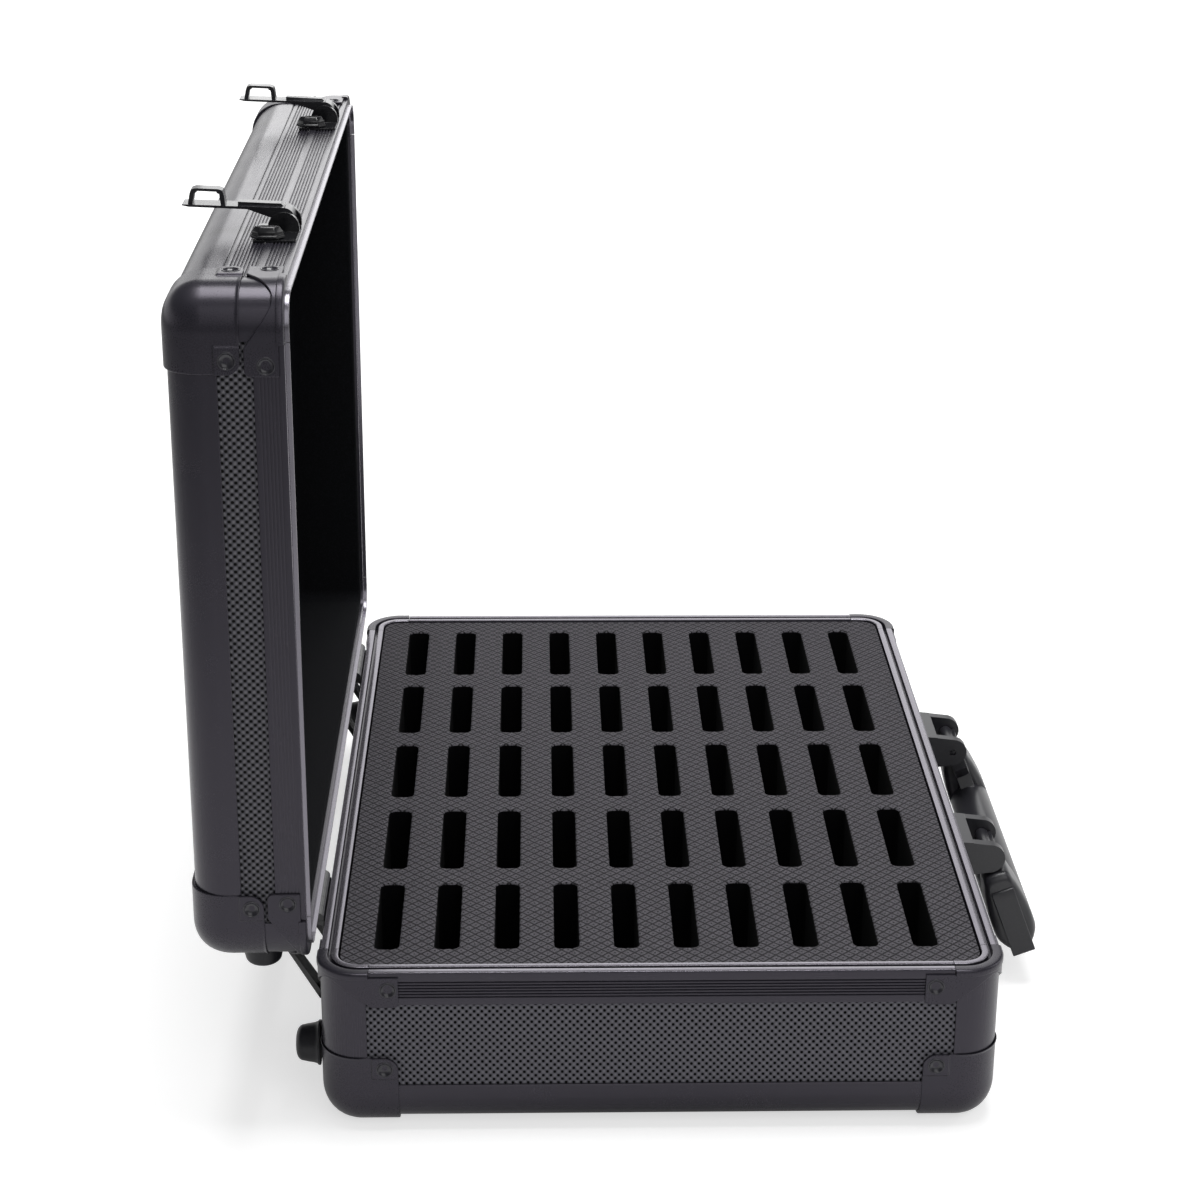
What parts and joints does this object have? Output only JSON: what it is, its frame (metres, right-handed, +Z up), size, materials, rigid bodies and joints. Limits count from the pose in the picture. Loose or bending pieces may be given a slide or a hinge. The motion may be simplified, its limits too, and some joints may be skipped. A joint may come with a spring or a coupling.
{
  "type": "coin display case",
  "caption": "Framed hard case standing open on back hinges, with a slotted foam tray for cased coins, hasp latches and a swinging carrying handle.",
  "frame": {"origin": "centre of the base's footprint, on the surface the ball corners stand on", "axes": "+X along the hinge line towards the case's right end, +Y from the front wall to the hinges, +Z up"},
  "size_m": [0.435, 0.4037, 0.4124],
  "materials": {
    "panel": "dark grey board with a fine raised dot pattern",
    "frame_aluminium": "grey anodised extrusion, brushed along its length",
    "corner_steel": "grey plated pressed steel, satin",
    "foam": "fine-cell charcoal foam",
    "lining": "black speckled lining",
    "rubber": "grey moulded rubber",
    "black_steel": "black lacquered steel",
    "plated_steel": "nickel-plated steel",
    "handle_plastic": "dark grey moulded plastic"
  },
  "bodies": {
    "base": {"base_carcass": "panel", "base_edge_frame": "frame_aluminium", "base_rim_profile_right": "frame_aluminium", "base_rim_profile_back": "frame_aluminium", "base_rim_profile_left": "frame_aluminium", "base_rim_profile_front": "frame_aluminium", "base_ball_corner_back_right": "corner_steel", "base_rim_corner_back_right": "corner_steel", "base_corner_post_back_right": "frame_aluminium", "base_ball_corner_back_left": "corner_steel", "base_rim_corner_back_left": "corner_steel", "base_corner_post_back_left": "frame_aluminium", "base_ball_corner_front_left": "corner_steel", "base_rim_corner_front_left": "corner_steel", "base_corner_post_front_left": "frame_aluminium", "base_ball_corner_front_right": "corner_steel", "base_rim_corner_front_right": "corner_steel", "base_corner_post_front_right": "frame_aluminium", "base_foam_insert": "foam", "hinge_base_leaf_left": "black_steel", "hinge_base_leaf_right": "black_steel", "base_foot_left": "rubber", "base_foot_right": "rubber", "latch_keeper_left": "black_steel", "latch_keeper_right": "black_steel", "handle_bracket_left": "handle_plastic", "handle_bracket_right": "handle_plastic"},
    "lid": {"lid_carcass": "panel", "lid_edge_frame": "frame_aluminium", "lid_rim_profile_right": "frame_aluminium", "lid_rim_profile_back": "frame_aluminium", "lid_rim_profile_left": "frame_aluminium", "lid_rim_profile_front": "frame_aluminium", "lid_ball_corner_back_right": "corner_steel", "lid_rim_corner_back_right": "corner_steel", "lid_corner_post_back_right": "frame_aluminium", "lid_ball_corner_back_left": "corner_steel", "lid_rim_corner_back_left": "corner_steel", "lid_corner_post_back_left": "frame_aluminium", "lid_ball_corner_front_left": "corner_steel", "lid_rim_corner_front_left": "corner_steel", "lid_corner_post_front_left": "frame_aluminium", "lid_ball_corner_front_right": "corner_steel", "lid_rim_corner_front_right": "corner_steel", "lid_corner_post_front_right": "frame_aluminium", "lid_lining": "lining", "hinge_lid_leaf_left": "black_steel", "hinge_lid_leaf_right": "black_steel", "lid_foot_left": "rubber", "lid_foot_right": "rubber", "latch_body_left": "black_steel", "latch_body_right": "black_steel"},
    "hasp_left": {"latch_hasp_left": "plated_steel"},
    "hasp_right": {"latch_hasp_right": "plated_steel"},
    "button_left": {"latch_button_left": "plated_steel"},
    "button_right": {"latch_button_right": "plated_steel"},
    "handle": {"carrying_handle": "handle_plastic"}
  },
  "joints": [
    {"name": "lid_hinge", "type": "hinge", "parent": "base", "child": "lid", "pos_m": [0, 0.1575, 0.0817], "axis": [1, 0, 0], "range_deg": [0, 90]},
    {"name": "hasp_pivot_left", "type": "hinge", "parent": "lid", "child": "hasp_left", "pos_m": [0, 0.1655, 0.3994], "axis": [1, 0, 0], "range_deg": [-2.4, 177.6]},
    {"name": "hasp_pivot_right", "type": "hinge", "parent": "lid", "child": "hasp_right", "pos_m": [0, 0.1655, 0.3994], "axis": [1, 0, 0], "range_deg": [-2.4, 177.6]},
    {"name": "button_slide_left", "type": "slide", "parent": "lid", "child": "button_left", "axis": [1, 0, 0], "range_m": [0, 0.005], "stiffness_N_per_m": 200},
    {"name": "button_slide_right", "type": "slide", "parent": "lid", "child": "button_right", "axis": [1, 0, 0], "range_m": [0, 0.005], "stiffness_N_per_m": 200},
    {"name": "handle_pivot", "type": "hinge", "parent": "base", "child": "handle", "pos_m": [0, -0.1692, 0.0678], "axis": [1, 0, 0], "range_deg": [-138, 0]}
  ]
}
